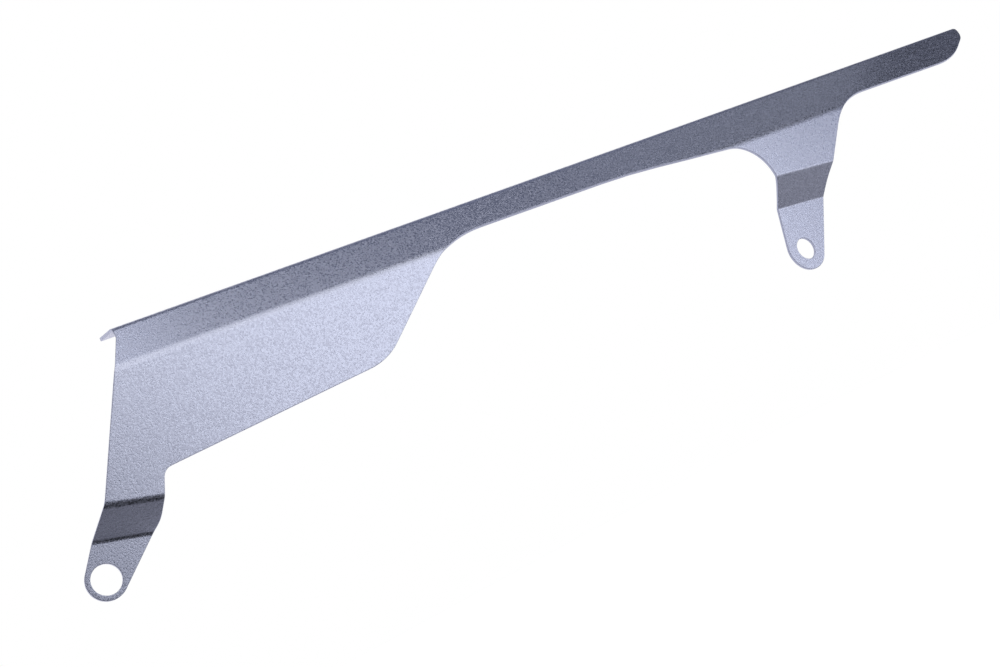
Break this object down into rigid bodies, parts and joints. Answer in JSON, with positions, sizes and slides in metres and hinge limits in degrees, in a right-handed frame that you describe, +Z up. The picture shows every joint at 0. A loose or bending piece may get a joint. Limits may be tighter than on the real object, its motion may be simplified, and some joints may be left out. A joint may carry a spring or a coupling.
{
  "type": "motorcycle chain guard",
  "caption": "Long folded sheet-metal chain guard with a leaning outer band, an inward top flange and stepped mounting tabs with round holes.",
  "frame": {"origin": "centre of the front mounting hole, on the outer face of the front tab", "axes": "+X from the front end to the rear end along the top fold, +Y inward to the chain, +Z up"},
  "size_m": [0.5972, 0.0296, 0.1],
  "materials": {
    "powder_coat": "fine-textured metallic grey powder coat, satin"
  },
  "bodies": {
    "root": {"chain_guard": "powder_coat"}
  },
  "joints": []
}
